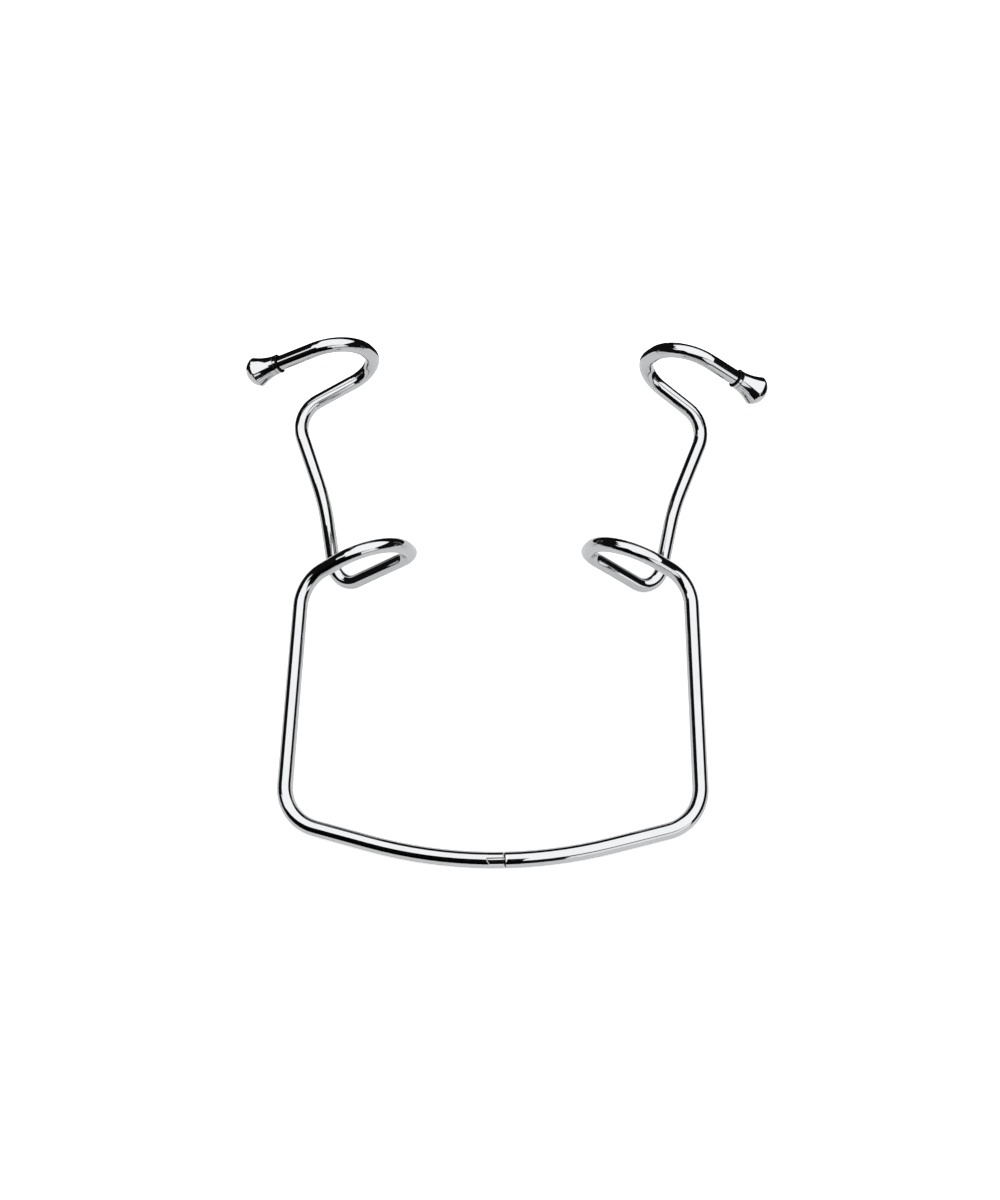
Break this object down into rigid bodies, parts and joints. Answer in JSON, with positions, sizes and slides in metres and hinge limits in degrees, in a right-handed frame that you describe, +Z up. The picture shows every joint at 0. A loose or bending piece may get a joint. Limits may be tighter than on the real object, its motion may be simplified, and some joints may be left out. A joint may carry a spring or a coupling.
{
  "type": "self retaining retractor",
  "caption": "Self-retaining lip and cheek retractor: a springy U-shaped wire frame with lip loops, cheek arms and hooks that end in turned knobs.",
  "frame": {"origin": "on the table under the centre of the object's box, as it lies on the middle of its bar and its two lower loops", "axes": "+X across from the left half to the right half, +Y from the bar towards the hooks, +Z up"},
  "size_m": [0.0892, 0.0844, 0.0379],
  "materials": {
    "spring_wire": "mirror-polished stainless spring wire",
    "turned_steel": "turned and mirror-polished stainless steel",
    "joint_steel": "polished stainless steel, filed flush"
  },
  "bodies": {
    "left_half": {"left_frame_wire": "spring_wire", "left_knob": "turned_steel"},
    "coupling": {"coupling_pin": "joint_steel", "coupling_key": "joint_steel"},
    "right_half": {"right_frame_wire": "spring_wire", "right_knob": "turned_steel"}
  },
  "joints": [
    {"name": "joint_pull", "type": "slide", "parent": "left_half", "child": "coupling", "axis": [0.9995, 0.0296, 0.0088], "range_m": [0, 0.0045]},
    {"name": "frame_squeeze", "type": "hinge", "parent": "coupling", "child": "right_half", "pos_m": [0.00076, -0.03974, 0.00162], "axis": [0, -0.2845, 0.9587], "range_deg": [0, 12], "stiffness_Nm_per_rad": 3.9, "deforming": ["coupling_pin"]}
  ]
}
